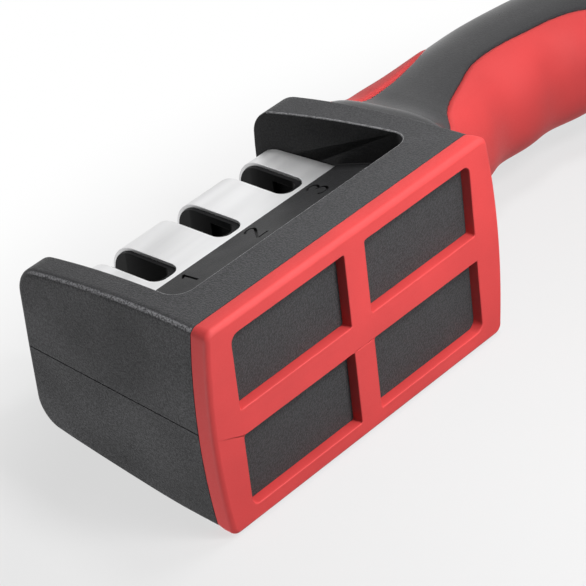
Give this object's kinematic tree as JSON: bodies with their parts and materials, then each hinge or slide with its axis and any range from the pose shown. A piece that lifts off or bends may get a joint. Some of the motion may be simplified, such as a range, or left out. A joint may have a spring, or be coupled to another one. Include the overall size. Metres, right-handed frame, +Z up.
{
  "type": "knife sharpener",
  "caption": "Handheld pull-through knife sharpener: black head with steel saddle and numbered slots, red rubber base frame, curved handle with red grips.",
  "frame": {"origin": "middle of the base face under the head, on the table", "axes": "+Z up from the base to the saddle, +X along the handle, -Y the side with the numerals"},
  "size_m": [0.2108, 0.0484, 0.057],
  "materials": {
    "black_plastic": "fine satin grain, black",
    "carrier_plastic": "smooth satin black",
    "red_rubber": "soft matte red",
    "stainless": "fine brushed along the length",
    "fastener_steel": "plain steel",
    "axle_steel": "ground and polished",
    "washer_steel": "plain steel",
    "carbide": "ground carbide, dark grey",
    "diamond_coat": "diamond grit coat, rough grey",
    "ceramic": "fired ceramic, off-white, fine matte"
  },
  "bodies": {
    "housing": {"front_shell": "black_plastic", "rear_shell": "black_plastic", "front_base_frame": "red_rubber", "rear_base_frame": "red_rubber", "front_lower_grip": "red_rubber", "rear_lower_grip": "red_rubber", "front_thumb_grip": "red_rubber", "rear_thumb_grip": "red_rubber", "saddle_cover": "stainless", "stage_carrier": "carrier_plastic", "carrier_plate": "carrier_plastic", "plate_screws": "fastener_steel", "carbide_blade_front": "carbide", "carbide_blade_rear": "carbide", "blade_screw": "fastener_steel", "coarse_axle": "axle_steel", "fine_axle": "axle_steel", "thrust_washers": "washer_steel", "shell_screws": "fastener_steel"},
    "coarse_wheel_near_body": {"coarse_wheel_near": "diamond_coat"},
    "coarse_wheel_far_body": {"coarse_wheel_far": "diamond_coat"},
    "fine_wheel_near_body": {"fine_wheel_near": "ceramic"},
    "fine_wheel_far_body": {"fine_wheel_far": "ceramic"}
  },
  "joints": [
    {"name": "coarse_wheel_near_spin", "type": "hinge", "parent": "housing", "child": "coarse_wheel_near_body", "pos_m": [0.0033, 0, 0.0375], "axis": [1, 0, 0], "continuous": true},
    {"name": "coarse_wheel_far_spin", "type": "hinge", "parent": "housing", "child": "coarse_wheel_far_body", "pos_m": [0.0033, 0, 0.0375], "axis": [1, 0, 0], "continuous": true},
    {"name": "fine_wheel_near_spin", "type": "hinge", "parent": "housing", "child": "fine_wheel_near_body", "pos_m": [0.0232, 0, 0.0375], "axis": [1, 0, 0], "continuous": true},
    {"name": "fine_wheel_far_spin", "type": "hinge", "parent": "housing", "child": "fine_wheel_far_body", "pos_m": [0.0232, 0, 0.0375], "axis": [1, 0, 0], "continuous": true}
  ]
}
